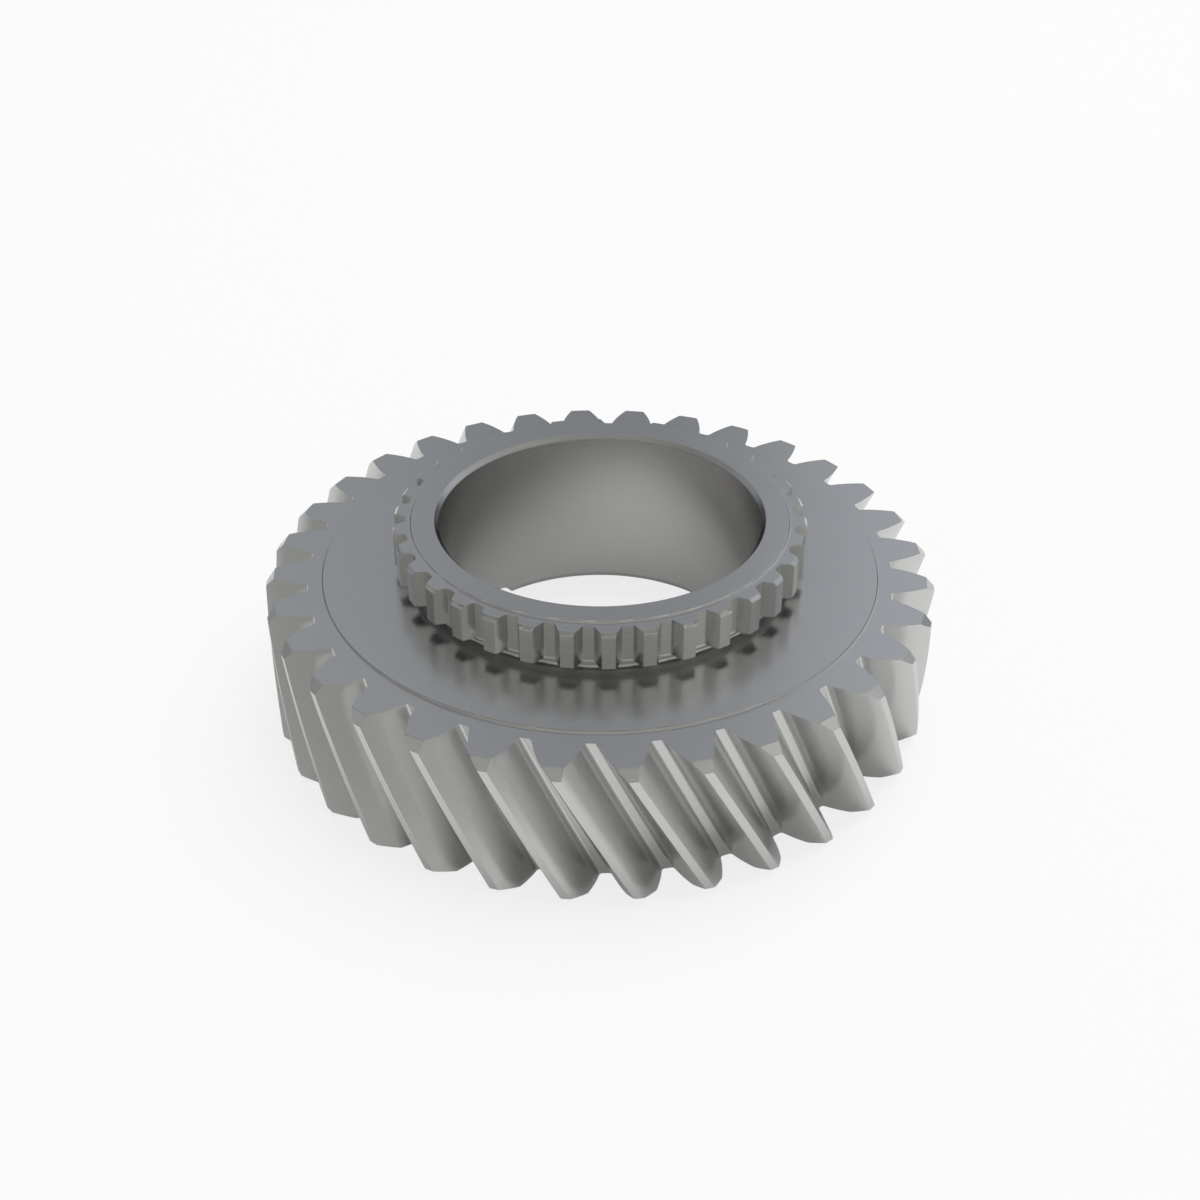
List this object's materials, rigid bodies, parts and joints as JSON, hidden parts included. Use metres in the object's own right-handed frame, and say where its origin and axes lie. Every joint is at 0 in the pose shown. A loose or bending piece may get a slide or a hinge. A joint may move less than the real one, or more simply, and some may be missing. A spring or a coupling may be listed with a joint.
{
  "type": "gear wheel",
  "caption": "Left-hand helical steel gear wheel with a toothed clutch ring on its raised hub, a smooth through bore and a recessed underside with oil grooves.",
  "frame": {"origin": "on the bore axis, in the plane of the rim's lower face, which the gear stands on", "axes": "+Z along the bore axis, from the rim towards the clutch ring; -Y towards the camera of the picture; +X to its right"},
  "size_m": [0.155, 0.155, 0.0483],
  "materials": {
    "ground_steel": "fine ground and turned, lightly oiled"
  },
  "bodies": {
    "root": {"gear_wheel": "ground_steel"}
  },
  "joints": []
}
